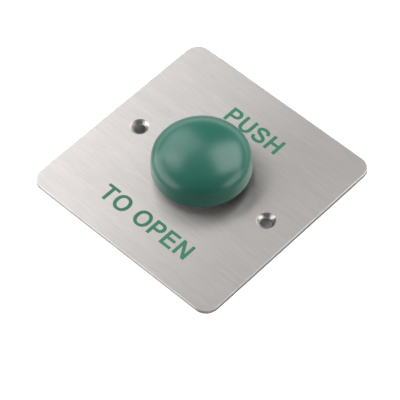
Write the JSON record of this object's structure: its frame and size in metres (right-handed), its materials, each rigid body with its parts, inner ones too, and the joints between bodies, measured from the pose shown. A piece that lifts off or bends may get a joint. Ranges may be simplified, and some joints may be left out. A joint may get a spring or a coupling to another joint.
{
  "type": "door exit button",
  "caption": "Flush-mounted door exit button: square brushed steel plate, large green domed push head and a double-pole contact block behind.",
  "frame": {"origin": "centre of the faceplate's back face, midway between the two fixing holes", "axes": "+Z out of the front, the way the head points; +X along the two fixing holes, the way the legend reads; +Y to the top of the legend"},
  "size_m": [0.084, 0.084, 0.0514],
  "materials": {
    "plate_steel": "satin, brushed along X",
    "green_plastic": "gloss",
    "black_plastic": "matte",
    "natural_plastic": "satin",
    "case_plastic": "satin",
    "plunger_plastic": "satin",
    "seal_rubber": "matte",
    "plated_steel": "zinc plated, satin",
    "spring_steel": "drawn wire",
    "contact_brass": "rolled",
    "contact_silver": null
  },
  "bodies": {
    "wall_unit": {"faceplate": "plate_steel", "front_gasket": "seal_rubber", "threaded_barrel": "black_plastic", "lock_washer": "plated_steel", "lock_nut": "black_plastic", "switch_carrier": "black_plastic", "switch_case": "case_plastic", "switch_cover": "case_plastic", "case_screws": "plated_steel", "nc_terminal_left": "contact_brass", "nc_terminal_right": "contact_brass", "no_terminal_left": "contact_brass", "no_terminal_right": "contact_brass", "fixed_tips": "contact_silver", "wire_clamps": "plated_steel", "terminal_screws": "plated_steel", "return_spring": "spring_steel", "contact_spring": "spring_steel"},
    "button": {"push_head": "green_plastic", "head_stem": "natural_plastic", "retaining_clip": "spring_steel"},
    "contacts": {"contact_plunger": "plunger_plastic", "moving_bridge": "contact_brass", "bridge_tips": "contact_silver"}
  },
  "joints": [
    {"name": "button_press", "type": "slide", "parent": "wall_unit", "child": "button", "axis": [0, 0, -1], "range_m": [0, 0.003], "stiffness_N_per_m": 790, "springref_m": -0.006, "deforming": ["return_spring"]},
    {"name": "contact_travel", "type": "slide", "parent": "wall_unit", "child": "contacts", "axis": [0, 0, -1], "range_m": [0, 0.003], "stiffness_N_per_m": 650, "springref_m": -0.002, "deforming": ["contact_spring"]}
  ],
  "couplings": [
    {"joint": "contact_travel", "follows": "button_press", "ratio": 1}
  ]
}
